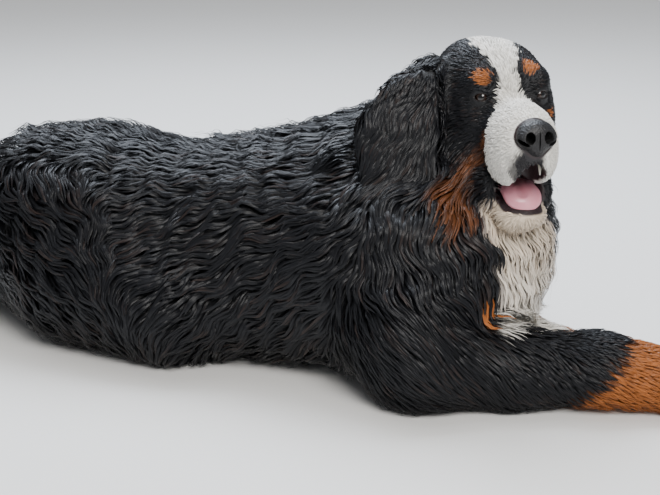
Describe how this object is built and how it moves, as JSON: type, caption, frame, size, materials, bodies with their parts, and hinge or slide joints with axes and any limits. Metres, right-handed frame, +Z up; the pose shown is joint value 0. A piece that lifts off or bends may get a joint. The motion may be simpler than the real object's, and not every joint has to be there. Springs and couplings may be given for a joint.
{
  "type": "bernese mountain dog",
  "caption": "Life-size Bernese mountain dog lying on its chest, head turned to its right, mouth open, long tricolour coat.",
  "frame": {"origin": "middle of the bounding box's footprint, on the floor", "axes": "+X forward along the back, towards the stretched foreleg; +Y to the dog's left; +Z up"},
  "size_m": [1.2468, 0.604, 0.438],
  "materials": {
    "coat": "long, wavy, glossy black hair with white blaze, muzzle and bib and rust brown marks on brows, cheeks and legs",
    "tongue": "moist pink",
    "nose_leather": "moist pebbled black leather",
    "eye": "wet dark brown",
    "claw": "dull dark horn"
  },
  "bodies": {
    "root": {"torso": "coat", "neck": "coat", "head": "coat", "lower_jaw": "coat", "tongue": "tongue", "nose": "nose_leather", "eye_right": "eye", "eye_left": "eye", "ear_right": "coat", "ear_left": "coat", "foreleg_right": "coat", "foreleg_left": "coat", "hindleg_right": "coat", "hindleg_left": "coat", "tail": "coat", "claw_foreleg_right_1": "claw", "claw_foreleg_right_2": "claw", "claw_foreleg_right_3": "claw", "claw_foreleg_right_4": "claw", "claw_foreleg_left_1": "claw", "claw_foreleg_left_2": "claw", "claw_foreleg_left_3": "claw", "claw_foreleg_left_4": "claw", "claw_hindleg_right_1": "claw", "claw_hindleg_right_2": "claw", "claw_hindleg_right_3": "claw", "claw_hindleg_right_4": "claw", "claw_hindleg_left_1": "claw", "claw_hindleg_left_2": "claw", "claw_hindleg_left_3": "claw", "claw_hindleg_left_4": "claw"}
  },
  "joints": []
}
